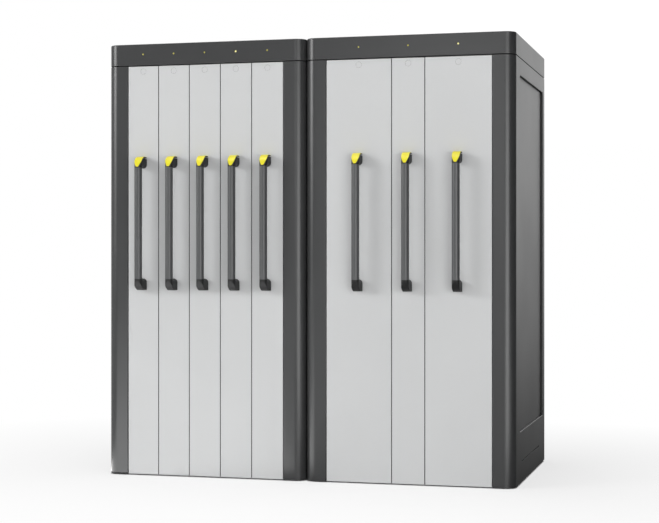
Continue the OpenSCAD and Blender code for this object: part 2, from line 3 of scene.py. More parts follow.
import bmesh
import bpy
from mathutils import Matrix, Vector


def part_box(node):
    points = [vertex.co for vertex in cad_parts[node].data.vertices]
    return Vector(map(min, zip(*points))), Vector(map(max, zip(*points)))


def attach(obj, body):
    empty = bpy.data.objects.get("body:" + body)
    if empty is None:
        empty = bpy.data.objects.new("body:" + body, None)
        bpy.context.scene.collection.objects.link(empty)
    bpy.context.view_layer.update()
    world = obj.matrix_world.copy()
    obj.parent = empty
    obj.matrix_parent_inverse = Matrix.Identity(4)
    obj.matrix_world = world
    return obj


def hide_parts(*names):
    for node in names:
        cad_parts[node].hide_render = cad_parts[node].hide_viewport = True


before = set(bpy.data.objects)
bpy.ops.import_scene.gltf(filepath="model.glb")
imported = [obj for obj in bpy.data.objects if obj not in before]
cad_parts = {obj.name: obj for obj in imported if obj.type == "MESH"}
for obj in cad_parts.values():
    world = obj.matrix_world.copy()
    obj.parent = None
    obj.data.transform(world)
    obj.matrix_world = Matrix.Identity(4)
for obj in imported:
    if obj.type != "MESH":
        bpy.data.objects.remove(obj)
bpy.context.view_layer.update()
scene = bpy.context.scene

# Camera: a long lens more than seven metres off, level at half the cabinets' height and turned to
# the left, so that the fronts and a narrow strip of the right-hand side show.
camera = bpy.data.cameras.new("camera")
camera.sensor_width = 36.0
camera.lens = 86.4
camera.shift_y = -0.00975
viewer = bpy.data.objects.new("camera", camera)
viewer.location = (1.947, -7.338, 1.0215)
viewer.rotation_euler = (math.radians(90.0), 0.0, math.radians(14.923))
scene.collection.objects.link(viewer)
scene.camera = viewer
scene.view_settings.view_transform = "Standard"


# Studio floor: a matt pale sheet under the cabinets that takes their soft shadow and runs out to
# white within two metres. The camera sees it lightened, except right under the cabinets.
def wire(tree, node, inputs):
    """Set or link the sockets of a node."""
    for socket, value in inputs.items():
        if isinstance(value, bpy.types.NodeSocket):
            tree.links.new(value, node.inputs[socket])
        else:
            node.inputs[socket].default_value = value


def add(tree, kind, inputs=None, **options):
    """Add a node, set its options, and set or link its sockets."""
    node = tree.nodes.new(kind)
    for option, value in options.items():
        setattr(node, option, value)
    wire(tree, node, inputs or {})
    return node


def reckon(tree, operation, *values, kind="ShaderNodeMath", result="Value"):
    """Add a math node and give its result."""
    return add(tree, kind, dict(enumerate(values)), operation=operation).outputs[result]


def reckon_vector(tree, operation, *values):
    """Add a vector math node and give its vector."""
    return reckon(tree, operation, *values, kind="ShaderNodeVectorMath", result="Vector")


def ramp(tree, value, start, end, low=0.0, high=1.0):
    """Map a value from one range to another, held at both ends."""
    return add(tree, "ShaderNodeMapRange", {"Value": value, "From Min": start, "From Max": end,
                                            "To Min": low, "To Max": high}).outputs["Result"]


floor_reach = 16.0
pair_middle = (0.0, 0.039, 0.0)
cabinet_middle = (0.477, 0.0, 0.0)
cabinet_half = (0.428, 0.462, 0.0)
cabinet_rounding = 0.048
shadow_reach = 0.005
white_reach = 1.8
floor_paleness = 0.72
paper_tone = (0.92, 0.92, 0.92, 1.0)
floor_sheet = bpy.data.meshes.new("studio_floor")
floor_sheet.from_pydata(
    [(-floor_reach, -floor_reach, 0.0), (floor_reach, -floor_reach, 0.0),
     (floor_reach, floor_reach, 0.0), (-floor_reach, floor_reach, 0.0)], [], [(0, 1, 2, 3)])
floor = bpy.data.objects.new("studio_floor", floor_sheet)
scene.collection.objects.link(floor)
floor_paper = bpy.data.materials.new("floor_paper")
floor_paper.use_nodes = True
tree = floor_paper.node_tree
tree.nodes.clear()
offset = add(tree, "ShaderNodeTexCoord").outputs["Object"]
for step in (pair_middle, cabinet_middle):
    offset = reckon_vector(tree, "ABSOLUTE", reckon_vector(tree, "SUBTRACT", offset, step))
offset = reckon_vector(tree, "SUBTRACT", offset, cabinet_half)
offset = reckon_vector(tree, "MAXIMUM", offset, (0.0, 0.0, 0.0))
distance = reckon(tree, "LENGTH", offset, kind="ShaderNodeVectorMath")
distance = reckon(tree, "SUBTRACT", distance, cabinet_rounding)
to_camera = add(tree, "ShaderNodeLightPath").outputs["Is Camera Ray"]
near = ramp(tree, distance, 0.0, shadow_reach, 0.0, floor_paleness)
far = ramp(tree, distance, shadow_reach, white_reach, 0.0, 1.0 - floor_paleness)
whitened = reckon(tree, "MULTIPLY", to_camera, reckon(tree, "ADD", near, far))
matt = add(tree, "ShaderNodeBsdfDiffuse", {"Color": paper_tone}).outputs[0]
white = add(tree, "ShaderNodeEmission", {"Strength": 1.0}).outputs[0]
paper = add(tree, "ShaderNodeMixShader", {0: whitened, 1: matt, 2: white}).outputs[0]
add(tree, "ShaderNodeOutputMaterial", {"Surface": paper})
floor_sheet.materials.append(floor_paper)
floor.visible_glossy = False

# Studio light: a broad lamp on the left and a wide low one front right throw the handles' two soft
# shadows, with a weak one behind, a small card in front and a box overhead. Two cards on the floor
# show only in gloss, and so does the room: white behind, pale in front and left, dark on the right.
room_level = 0.12
gloss_level = 0.05
left_level = 0.6
front_level = 0.78
right_share = 0.15
world = bpy.data.worlds.new("studio")
scene.world = world
world.use_nodes = True
tree = world.node_tree
tree.nodes.clear()
direction = add(tree, "ShaderNodeTexCoord").outputs["Generated"]
heading = add(tree, "ShaderNodeSeparateXYZ", {0: direction}).outputs
rays = add(tree, "ShaderNodeLightPath").outputs
to_camera = rays["Is Camera Ray"]
mirrored = reckon(tree, "MAXIMUM", rays["Is Glossy Ray"], rays["Is Transmission Ray"])
behind = ramp(tree, heading["Y"], start=0.88, end=0.97)
rising = ramp(tree, heading["Z"], start=-0.145, end=0.08)
on_left = ramp(tree, heading["X"], start=-0.6, end=-0.9, low=gloss_level, high=left_level)
in_front = ramp(tree, heading["Y"], start=-0.89, end=-0.99, low=0.0, high=front_level)
on_right = ramp(tree, heading["X"], start=0.3, end=0.7, low=1.0, high=right_share)
walls = reckon(tree, "MULTIPLY", reckon(tree, "ADD", on_left, in_front), on_right)
screen = reckon(tree, "MULTIPLY_ADD", behind, rising, walls)
backdrop = reckon(tree, "MAXIMUM", to_camera, screen)
seen = reckon(tree, "MAXIMUM", to_camera, mirrored)
room = add(tree, "ShaderNodeBackground", {"Color": (room_level, room_level, room_level, 1.0)}).outputs[0]
shown = add(tree, "ShaderNodeBackground", {"Color": backdrop}).outputs[0]
studio = add(tree, "ShaderNodeMixShader", {0: seen, 1: room, 2: shown}).outputs[0]
add(tree, "ShaderNodeOutputWorld", {"Surface": studio})


def softbox(name, spot, aim, size, level):
    """Hang a soft lamp whose level is the share of full white that it gives at its aim."""
    lamp = bpy.data.lights.new(name, "AREA")
    lamp.shape = "RECTANGLE"
    lamp.size, lamp.size_y = size
    throw = Vector(aim) - Vector(spot)
    lamp.energy = level * math.pi ** 2 * throw.length_squared
    holder = bpy.data.objects.new(name, lamp)
    holder.location = spot
    holder.rotation_euler = throw.to_track_quat("-Z", "Y").to_euler()
    holder.visible_camera = False
    scene.collection.objects.link(holder)
    return holder


def floor_card(name, spot, size, glow, turn=0.0):
    """Lay a card on the floor that only gloss shows, with its glow as a share of full white."""
    above = (spot[0], spot[1], spot[2] + 1.0)
    card = softbox(name, spot, above, size, glow * size[0] * size[1] / math.pi)
    card.rotation_euler.z += math.radians(turn)
    card.visible_diffuse = False


softbox("left_key", (-7.2, -5.6, 3.7), (0.0, -0.5, 1.1), (4.2, 3.2), 0.44)
softbox("right_key", (4.15, -6.75, 1.3), (0.0, -0.5, 1.1), (4.3, 3.4), 0.37)
softbox("rear_fill", (-3.5, 6.0, 4.0), (0.0, 0.5, 1.2), (6.0, 5.0), 0.25)
softbox("front_card", (-0.5, -7.2, 2.2), (0.2, -0.5, 1.6), (1.2, 2.2), 0.04)
floor_card("left_floor_card", (-1.88, -3.45, 0.01), (1.3, 6.4), 4.0, -22.0)
floor_card("right_floor_card", (3.05, -3.6, 0.01), (3.9, 4.8), 2.2)
softbox("overhead_box", (0.0, -0.4, 5.2), (0.0, -0.4, 0.0), (4.0, 3.0), 0.5)


# Base frames: folded steel trays at the foot of each cabinet, welded, with bosses for the feet
# and painted with the housing. The CAD solids stay and take the housing's paint.
def new_finish(name):
    """Start a material and give it with its tree, its surface node and the place on the object."""
    finish = bpy.data.materials.new(name)
    finish.use_nodes = True
    tree = finish.node_tree
    return finish, tree, tree.nodes["Principled BSDF"], add(tree, "ShaderNodeTexCoord").outputs["Object"]


def noise(tree, place, scale, detail):
    """Add a noise texture and give its level."""
    return add(tree, "ShaderNodeTexNoise", {"Vector": place, "Scale": scale, "Detail": detail}).outputs["Fac"]


def relief(tree, height, strength, depth=0.0002):
    """Add a bump of a height and give its normal."""
    return add(tree, "ShaderNodeBump", {"Height": height, "Strength": strength,
                                        "Distance": depth}).outputs["Normal"]


def toned(tree, value, colours, positions=(0.0, 1.0)):
    """Give a value the colours of a ramp with two stops."""
    tone = add(tree, "ShaderNodeValToRGB", {"Fac": value})
    for stop, colour, position in zip(tone.color_ramp.elements, colours, positions):
        stop.color = (*colour, 1.0)
        stop.position = position
    return tone.outputs["Color"]


def powder_coat(name, shades, dullness, gloss=0.5):
    """Baked powder coat: a slightly clouded tone, uneven dullness and a fine orange peel."""
    coat, tree, surface, place = new_finish(name)
    unevenness = 0.015
    cloud = noise(tree, place, scale=2.4, detail=5.0)
    peel = noise(tree, place, scale=380.0, detail=1.5)
    wire(tree, surface, {
        "Base Color": toned(tree, cloud, shades, (0.35, 0.65)),
        "Roughness": ramp(tree, cloud, 0.3, 0.7, dullness - unevenness, dullness + unevenness),
        "Normal": relief(tree, peel, strength=0.10),
        "Specular IOR Level": gloss})
    return coat


def repaint(finish, *nodes):
    """Give carried-over CAD nodes a finish."""
    for node in nodes:
        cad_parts[node].material_slots[0].material = finish


housing_coat = powder_coat("housing_coat", ((0.042, 0.043, 0.044), (0.045, 0.046, 0.047)), 0.30)
repaint(housing_coat, "left_base_frame", "right_base_frame")

# Levelling feet: pads with threaded stems and lock nuts, all of black moulded plastic, screwed into
# the bosses of the base frames.
same_spot = 1e-6


def islands(shape):
    """Give the separate solids in a bmesh as lists of vertices."""
    waiting = set(shape.verts)
    found = []
    while waiting:
        front = [waiting.pop()]
        solid = list(front)
        while front:
            vertex = front.pop()
            for edge in vertex.link_edges:
                other = edge.other_vert(vertex)
                if other in waiting:
                    waiting.remove(other)
                    front.append(other)
                    solid.append(other)
        found.append(solid)
    return found


def extent(points):
    """Give the lowest and highest corner of a set of points."""
    low = Vector(min(point[axis] for point in points) for axis in range(3))
    high = Vector(max(point[axis] for point in points) for axis in range(3))
    return low, high


def merged_copy(node):
    """Copy a CAD node's mesh with its loose triangles joined."""
    shape = bmesh.new()
    shape.from_mesh(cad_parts[node].data)
    bmesh.ops.remove_doubles(shape, verts=shape.verts, dist=same_spot)
    return shape


def solid_boxes(node):
    """Give the box of each solid of a CAD node, from left to right, front to back, low to high."""
    shape = merged_copy(node)
    boxes = [extent([vertex.co for vertex in solid]) for solid in islands(shape)]
    shape.free()
    return sorted(boxes, key=lambda box: tuple(round(value, 4) for value in box[0]))


def settle(made):
    """Replace an object's mesh by what its modifiers make of it."""
    graph = bpy.context.evaluated_depsgraph_get()
    finished = bpy.data.meshes.new_from_object(made.evaluated_get(graph), preserve_all_data_layers=True,
                                               depsgraph=graph)
    finished.name = made.name
    made.modifiers.clear()
    made.data = finished


def seat(made, body, slot, *nodes):
    """Let a piece ride on its body and stand for its CAD nodes. Its slot is not used."""
    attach(made, body)
    if nodes:
        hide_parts(*nodes)


def new_tree(name, *sizes):
    """Start a geometry tree that takes points, named sizes and a material."""
    tree = bpy.data.node_groups.new(name, "GeometryNodeTree")
    tree.interface.new_socket("Points", in_out="INPUT", socket_type="NodeSocketGeometry")
    for size in sizes:
        tree.interface.new_socket(size, in_out="INPUT", socket_type="NodeSocketFloat")
    tree.interface.new_socket("Finish", in_out="INPUT", socket_type="NodeSocketMaterial")
    tree.interface.new_socket("Geometry", in_out="OUTPUT", socket_type="NodeSocketGeometry")
    return tree, add(tree, "NodeGroupInput").outputs


def share(tree, size, factor):
    """Give a size of a geometry tree times a factor."""
    return reckon(tree, "MULTIPLY", size, factor)


def cylinder(tree, sides, radius, length):
    """Add a cylinder about the origin to a geometry tree."""
    return add(tree, "GeometryNodeMeshCylinder", {"Vertices": sides, "Radius": radius,
                                                  "Depth": length}).outputs["Mesh"]


def cone(tree, sides, radius, top_radius, height):
    """Add a blunt cone that stands on the origin to a geometry tree."""
    return add(tree, "GeometryNodeMeshCone", {"Vertices": sides, "Radius Bottom": radius,
                                              "Radius Top": top_radius, "Depth": height}).outputs["Mesh"]


def lifted(tree, mesh, height):
    """Lift a mesh inside a geometry tree by a size of the tree."""
    rise = add(tree, "ShaderNodeCombineXYZ", {"Z": height}).outputs[0]
    return add(tree, "GeometryNodeTransform", {"Geometry": mesh, "Translation": rise}).outputs["Geometry"]


def joined(tree, *meshes):
    """Join meshes inside a geometry tree."""
    whole = add(tree, "GeometryNodeJoinGeometry")
    for mesh in meshes:
        tree.links.new(mesh, whole.inputs[0])
    return whole.outputs[0]


def at_points(tree, inlet, *meshes):
    """End a geometry tree: join the meshes and put a copy at every point."""
    made = add(tree, "GeometryNodeInstanceOnPoints", {"Points": inlet["Points"],
                                                      "Instance": joined(tree, *meshes)})
    made = add(tree, "GeometryNodeRealizeInstances", {0: made.outputs[0]})
    made = add(tree, "GeometryNodeSetShadeSmooth", {"Geometry": made.outputs[0], "Shade Smooth": True})
    made = add(tree, "GeometryNodeSetMaterial", {"Geometry": made.outputs[0], "Material": inlet["Finish"]})
    add(tree, "NodeGroupOutput", {0: made.outputs[0]})


sharp_turn = math.radians(32.0)


def grow(name, tree, points, finish, body, slot, *nodes, **sizes):
    """Run a geometry tree on a set of points and keep the result as a piece with a plain mesh."""
    seeds = bpy.data.meshes.new(name)
    seeds.from_pydata(points, [], [])
    made = bpy.data.objects.new(name, seeds)
    scene.collection.objects.link(made)
    growth = made.modifiers.new("growth", "NODES")
    growth.node_group = tree
    values = {size.replace("_", " "): value for size, value in sizes.items()}
    values["Finish"] = finish
    for socket in tree.interface.items_tree:
        if socket.in_out == "INPUT" and socket.name in values:
            growth[socket.identifier] = values[socket.name]
    settle(made)
    made.data.set_sharp_from_angle(angle=sharp_turn)
    seat(made, body, slot, *nodes)


def shaded(colour, *shares):
    """Give darker or lighter shades of a colour."""
    return [tuple(min(1.0, part * channel) for channel in colour) for part in shares]


def moulded(name, colour, dullness, grain=600.0, depth=0.00015, gloss=0.5):
    """Moulded plastic or rubber: an even colour, slightly mottled, with a fine eroded grain."""
    plastic, tree, surface, place = new_finish(name)
    unevenness = 0.05
    mottle = noise(tree, place, scale=24.0, detail=4.0)
    eroded = noise(tree, place, scale=grain, detail=2.0)
    wire(tree, surface, {
        "Base Color": toned(tree, mottle, shaded(colour, 0.93, 1.05)),
        "Roughness": ramp(tree, mottle, 0.0, 1.0, dullness - unevenness, dullness + unevenness),
        "Normal": relief(tree, eroded, 0.15, depth),
        "Specular IOR Level": gloss})
    return plastic


foot_tree, inlet = new_tree("levelling_foot", "Pad Radius", "Pad Height", "Stem Radius", "Stem Height")
pad_half = share(foot_tree, inlet["Pad Height"], 0.5)
shoulder_radius = share(foot_tree, inlet["Pad Radius"], 0.86)
nut_radius = share(foot_tree, inlet["Stem Radius"], 1.7)
pad_rim = cylinder(foot_tree, 40, inlet["Pad Radius"], pad_half)
pad_shoulder = cone(foot_tree, 40, inlet["Pad Radius"], shoulder_radius, pad_half)
nut = cylinder(foot_tree, 6, nut_radius, inlet["Pad Height"])
stem = cylinder(foot_tree, 24, inlet["Stem Radius"], inlet["Stem Height"])
at_points(foot_tree, inlet,
          lifted(foot_tree, pad_rim, share(foot_tree, inlet["Pad Height"], 0.25)),
          lifted(foot_tree, pad_shoulder, pad_half),
          lifted(foot_tree, nut, share(foot_tree, inlet["Pad Height"], 1.6)),
          lifted(foot_tree, stem, share(foot_tree, inlet["Stem Height"], 0.5)))
foot_plastic = moulded("foot_plastic", (0.022, 0.022, 0.023), 0.55)
foot_boxes = solid_boxes("levelling_feet")
foot_spots = [((low + high) / 2).xy.to_3d() for low, high in foot_boxes]
foot_low, foot_high = foot_boxes[0]
grow("levelling_feet_black", foot_tree, foot_spots, foot_plastic, "housing", "foot_plastic", "levelling_feet",
     Pad_Radius=(foot_high.x - foot_low.x) / 2, Pad_Height=0.006, Stem_Radius=0.008, Stem_Height=foot_high.z)


# Side panels: 3 mm steel sheet folded round a hollow front post with a large rounded corner, with
# a recessed window in the side, a pressed seam near the floor and a flange at the rear.
def ring(shape, points):
    """Add a row of vertices."""
    return [shape.verts.new(point) for point in points]


def skin(shape, one, other, closed=True):
    """Span the faces between two rows of vertices."""
    for index in range(0 if closed else 1, len(one)):
        shape.faces.new((one[index - 1], one[index], other[index], other[index - 1]))


def skin_all(shape, rows):
    """Span the faces between rows of points, in order, and give the rows of vertices."""
    made = [ring(shape, row) for row in rows]
    for one, other in zip(made, made[1:]):
        skin(shape, one, other)
    return made


def closed_skin(shape, rows):
    """Span the faces between rows of points, in order, and close both ends."""
    made = skin_all(shape, rows)
    shape.faces.new(made[0])
    shape.faces.new(made[-1])


def fill(shape, *rings):
    """Fill a flat outline, leaving the holes that the other rings make."""
    edges = []
    for loop in rings:
        for one, other in zip(loop, loop[1:] + loop[:1]):
            edges.append(shape.edges.get((one, other)) or shape.edges.new((one, other)))
    bmesh.ops.triangle_fill(shape, use_beauty=True, edges=edges)


def quarter(steps):
    """Give the turns of a quarter circle in even steps, with both ends."""
    return [math.radians(90.0 * step / steps) for step in range(steps + 1)]


def bent_path(corners, steps):
    """Round the right-angled corners of a path, each given as (x, y, bend radius)."""
    path = []
    for index, (x, y, radius) in enumerate(corners):
        corner = Vector((x, y))
        if radius == 0.0:
            path.append(corner)
            continue
        before = (Vector(corners[index - 1][:2]) - corner).normalized()
        after = (Vector(corners[(index + 1) % len(corners)][:2]) - corner).normalized()
        middle = corner + (before + after) * radius
        for turn in quarter(steps):
            path.append(middle - after * radius * math.cos(turn) - before * radius * math.sin(turn))
    return path


tight_bend = 0.0003


def rounded_box(low, high, radius, grown=0.0, steps=6):
    """Give a rectangle with round corners, grown all round."""
    left, bottom = low[0] - grown, low[1] - grown
    right, top = high[0] + grown, high[1] + grown
    bend = max(radius + grown, tight_bend)
    corners = [(left, bottom, bend), (right, bottom, bend), (right, top, bend), (left, top, bend)]
    return bent_path(corners, steps)


def piece(name, shape, finish, body, slot, *nodes, sheet=0.0, outward=None, edge=0.0):
    """Finish a bmesh as a piece that rides on its body and stands for its CAD nodes."""
    bmesh.ops.recalc_face_normals(shape, faces=shape.faces)
    if outward is not None:
        outermost = max(shape.faces, key=lambda face: face.calc_center_median().dot(outward))
        if outermost.normal.dot(outward) < 0.0:
            bmesh.ops.reverse_faces(shape, faces=shape.faces)
    mesh = bpy.data.meshes.new(name)
    shape.to_mesh(mesh)
    shape.free()
    mesh.materials.append(finish)
    mesh.shade_smooth()
    mesh.set_sharp_from_angle(angle=sharp_turn)
    made = bpy.data.objects.new(name, mesh)
    scene.collection.objects.link(made)
    if sheet:
        wall = made.modifiers.new("sheet", "SOLIDIFY")
        wall.thickness = sheet
        wall.offset = -1.0
        wall.use_even_offset = True
    if edge:
        broken = made.modifiers.new("broken_edges", "BEVEL")
        broken.width = edge
        broken.segments = 2
        broken.limit_method = "ANGLE"
        broken.angle_limit = sharp_turn
        broken.harden_normals = True
    flats = made.modifiers.new("even_flats", "WEIGHTED_NORMAL")
    flats.keep_sharp = True
    settle(made)
    seat(made, body, slot, *nodes)


steel_sheet = 0.003
post_depth = 0.080
corner_radius = 0.048
fold_radius = 0.004
rear_flange = 0.040
recess_radius = 0.025
recess_lip = 0.003
inset_rim = 0.008
seam_rise = 0.091
seam_length = 0.600
seam_height = 0.003
seam_depth = 0.001
seam_flare = 0.0006
seam_strip_drop = 0.0003
side_names = ("left_outer_side", "left_inner_side", "right_inner_side", "right_outer_side")
inset_boxes = solid_boxes("side_insets")
seam_shade_strips = bmesh.new()
for side_name, way, (inset_low, inset_high) in zip(side_names, (1, -1, 1, -1), inset_boxes):
    side_low, side_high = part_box(side_name)
    outer_x = side_low.x if way > 0 else side_high.x
    post_width = side_high.x - side_low.x
    depth = side_high.y - side_low.y

    def on_side(x, y, z):
        """Place a point given from the outer face and the front of a side."""
        return Vector((outer_x + way * x, side_low.y + y, z))

    def outlined(x, low, high, radius, grown=0.0):
        """Place the outline of a rounded box at a distance behind the outer face of a side."""
        return [on_side(x, y, z) for y, z in rounded_box(low, high, radius, grown)]

    plan = bent_path([(steel_sheet, post_depth, 0.0), (post_width, post_depth, fold_radius),
                      (post_width, 0.0, fold_radius), (0.0, 0.0, corner_radius),
                      (0.0, depth, fold_radius), (rear_flange, depth, 0.0)], steps=12)
    shape = bmesh.new()
    lower = ring(shape, [on_side(x, y, side_low.z) for x, y in plan])
    upper = ring(shape, [on_side(x, y, side_high.z) for x, y in plan])
    wall_start = max(index for index, (x, y) in enumerate(plan) if y <= corner_radius + same_spot)
    wall_end = wall_start + 1
    skin(shape, lower[:wall_end], upper[:wall_end], closed=False)
    skin(shape, lower[wall_end:], upper[wall_end:], closed=False)
    window_low = (inset_low.y + inset_rim - side_low.y, inset_low.z + inset_rim)
    window_high = (inset_high.y - inset_rim - side_low.y, inset_high.z - inset_rim)
    recess_depth = abs((inset_low.x if way > 0 else inset_high.x) - outer_x)
    rows = [outlined(recess_lip * (1.0 - math.cos(turn)), window_low, window_high, recess_radius,
                     recess_lip * (1.0 - math.sin(turn))) for turn in quarter(4)]
    rows.append(outlined(recess_depth, window_low, window_high, recess_radius))
    window = skin_all(shape, rows)[0]
    seam_low = ((depth - seam_length) / 2, side_low.z + seam_rise)
    seam_high = ((depth + seam_length) / 2, side_low.z + seam_rise + seam_height)
    seam = skin_all(shape, [outlined(0.0, seam_low, seam_high, 0.0, seam_flare),
                            outlined(seam_depth, seam_low, seam_high, 0.0)])
    shape.faces.new(seam[1])
    # A black strip in each pressed seam: painted shade that darkens the seam.
    closed_skin(seam_shade_strips, [outlined(seam_strip_drop, seam_low, seam_high, 0.0),
                              outlined(seam_strip_drop + seam_depth, seam_low, seam_high, 0.0)])
    fill(shape, [lower[wall_start], lower[wall_end], upper[wall_end], upper[wall_start]], window, seam[0])
    piece(side_name + "_sheet", shape, housing_coat, "housing", "housing_paint", side_name, sheet=steel_sheet,
          outward=Vector((-way, 0.0, 0.0)))

# Seam shade strips: black strips laid in the pressed seams of the sides, just below the face of
# the sheet, as painted shade that darkens the seams.
seam_shade_black = moulded("seam_shade_black", (0.010, 0.010, 0.010), 0.8, gloss=0.0)
piece("side_seam_shade_strips", seam_shade_strips, seam_shade_black, "housing", "black_rubber")

# Inset plates: flat steel plates with round corners that close the windows of the sides from
# within, spot-welded to the recess and painted with it.
inset_edge = 0.0004
shape = bmesh.new()
for low, high in inset_boxes:
    outline = rounded_box(low.yz, high.yz, recess_radius + inset_rim)
    closed_skin(shape, [[(x, y, z) for y, z in outline] for x in (low.x, high.x)])
piece("side_inset_plates", shape, housing_coat, "housing", "housing_paint", "side_insets", edge=inset_edge)

# Back panels: plain painted steel sheets between the rear flanges, drilled for the wall anchors.
# The CAD sheets stay and take the housing's paint.
repaint(housing_coat, "left_back_panel", "right_back_panel")

# Grommets: closed black rubber plugs with a round lip on both faces, moulded in one and pressed
# into the cable holes of the back panels.
quarter_turn = math.radians(90.0)


def tilted(tree, mesh, turn):
    """Turn a mesh inside a geometry tree about the three axes."""
    return add(tree, "GeometryNodeTransform", {"Geometry": mesh, "Rotation": turn}).outputs["Geometry"]


def both_ends(tree, mesh, rise):
    """Give a mesh of a geometry tree twice, lifted and lowered by the same size."""
    return lifted(tree, mesh, rise), lifted(tree, mesh, share(tree, rise, -1.0))


def hoop(tree, sides, radius, section_sides, section_radius):
    """Add a hoop of round wire to a geometry tree."""
    path, section = [add(tree, "GeometryNodeCurvePrimitiveCircle", {"Resolution": count, "Radius": size})
                     for count, size in ((sides, radius), (section_sides, section_radius))]
    return add(tree, "GeometryNodeCurveToMesh", {"Curve": path.outputs["Curve"],
                                                 "Profile Curve": section.outputs["Curve"]}).outputs["Mesh"]


grommet_tree, inlet = new_tree("cable_grommet", "Radius", "Length", "Lip")
neck_radius = share(grommet_tree, inlet["Radius"], 0.8)
neck = cylinder(grommet_tree, 36, neck_radius, inlet["Length"])
lip = hoop(grommet_tree, 36, neck_radius, 12, share(grommet_tree, inlet["Lip"], 0.5))
lips = both_ends(grommet_tree, lip, share(grommet_tree, inlet["Length"], 0.5))
upright_grommet = joined(grommet_tree, neck, *lips)
at_points(grommet_tree, inlet, tilted(grommet_tree, upright_grommet, (quarter_turn, 0.0, 0.0)))
grommet_boxes = solid_boxes("cable_grommets")
grommet_low, grommet_high = grommet_boxes[0]
grommet_length = grommet_high.y - grommet_low.y
neck_share = 0.7
black_rubber = moulded("black_rubber", (0.018, 0.018, 0.018), 0.7)
grow("grommets_black", grommet_tree, [(low + high) / 2 for low, high in grommet_boxes], black_rubber,
     "housing", "black_rubber", "cable_grommets", Radius=(grommet_high.x - grommet_low.x) / 2,
     Length=grommet_length * neck_share, Lip=grommet_length * (1.0 - neck_share))


# Fasteners: zinc-plated pan-head screws with a cross recess in the back panels, and hexagon bolts
# with nuts that clamp the two inner sides together.
def plated(name, colour, dullness, streak=(60.0, 4.0, 60.0)):
    """Zinc-plated or drawn steel: bright metal with faint streaks along its length."""
    metal, tree, surface, place = new_finish(name)
    unevenness = 0.08
    drawn = add(tree, "ShaderNodeMapping", {"Vector": place, "Scale": streak}).outputs["Vector"]
    streaks = noise(tree, drawn, scale=6.0, detail=6.0)
    wire(tree, surface, {
        "Base Color": toned(tree, streaks, shaded(colour, 0.82, 1.08)),
        "Roughness": ramp(tree, streaks, 0.0, 1.0, dullness - unevenness, dullness + unevenness),
        "Normal": relief(tree, streaks, strength=0.08),
        "Metallic": 1.0})
    return metal


zinc_plate = plated("zinc_plate", (0.60, 0.61, 0.62), 0.36)
screw_tree, inlet = new_tree("panel_screw", "Head Radius", "Head Height")
crown_radius = share(screw_tree, inlet["Head Radius"], 0.72)
pan_head = cone(screw_tree, 28, inlet["Head Radius"], crown_radius, inlet["Head Height"])
slot_size = add(screw_tree, "ShaderNodeCombineXYZ", {"X": inlet["Head Radius"],
                                                     "Y": share(screw_tree, inlet["Head Radius"], 0.24),
                                                     "Z": inlet["Head Height"]}).outputs[0]
slot_box = add(screw_tree, "GeometryNodeMeshCube", {"Size": slot_size}).outputs["Mesh"]
slot_box = lifted(screw_tree, slot_box, share(screw_tree, inlet["Head Height"], 0.85))
recessed = add(screw_tree, "GeometryNodeMeshBoolean", {"Mesh 1": pan_head}, operation="DIFFERENCE")
for cutter in (slot_box, tilted(screw_tree, slot_box, (0.0, 0.0, quarter_turn))):
    screw_tree.links.new(cutter, recessed.inputs["Mesh 2"])
at_points(screw_tree, inlet, tilted(screw_tree, recessed.outputs["Mesh"], (-quarter_turn, 0.0, 0.0)))
screw_head = 0.0018
widest_screw = 0.012
fastener_boxes = solid_boxes("cabinet_fasteners")
screw_boxes = [(low, high) for low, high in fastener_boxes if high.x - low.x < widest_screw]
screw_spots = [Vector(((low.x + high.x) / 2, high.y - screw_head, (low.z + high.z) / 2))
               for low, high in screw_boxes]
screw_low, screw_high = screw_boxes[0]
grow("back_panel_screws", screw_tree, screw_spots, zinc_plate, "housing", "slide_steel", "cabinet_fasteners",
     Head_Radius=(screw_high.x - screw_low.x) / 2, Head_Height=screw_head)

bolt_tree, inlet = new_tree("connector_bolt", "Head Radius", "Head Height", "Length")
hexagon = cylinder(bolt_tree, 6, inlet["Head Radius"], inlet["Head Height"])
washer = cylinder(bolt_tree, 32, inlet["Head Radius"], share(bolt_tree, inlet["Head Height"], 0.22))
shank = cylinder(bolt_tree, 24, share(bolt_tree, inlet["Head Radius"], 0.55), inlet["Length"])
bolt_half = share(bolt_tree, inlet["Length"], 0.5)
head_rise = reckon(bolt_tree, "SUBTRACT", bolt_half, share(bolt_tree, inlet["Head Height"], 0.5))
washer_rise = reckon(bolt_tree, "SUBTRACT", bolt_half, share(bolt_tree, inlet["Head Height"], 0.89))
standing = joined(bolt_tree, shank, *both_ends(bolt_tree, hexagon, head_rise),
                  *both_ends(bolt_tree, washer, washer_rise))
at_points(bolt_tree, inlet, tilted(bolt_tree, standing, (0.0, quarter_turn, 0.0)))
bolt_head = 0.007
bolt_boxes = [(low, high) for low, high in fastener_boxes if high.x - low.x > widest_screw]
bolt_low, bolt_high = bolt_boxes[0]
grow("connector_bolts", bolt_tree, [(low + high) / 2 for low, high in bolt_boxes], zinc_plate, "housing",
     "slide_steel", Head_Radius=(bolt_high.z - bolt_low.z) / 2, Head_Height=bolt_head,
     Length=bolt_high.x - bolt_low.x)

# Head frames: folded steel ceilings that carry the upper rails and the headers, with the control
# units on top. All are hidden by the headers from outside, so the CAD solids stay.
repaint(housing_coat, "left_head_frame", "right_head_frame")
control_case = moulded("control_case", (0.30, 0.31, 0.32), 0.5)
repaint(control_case, "control_units")

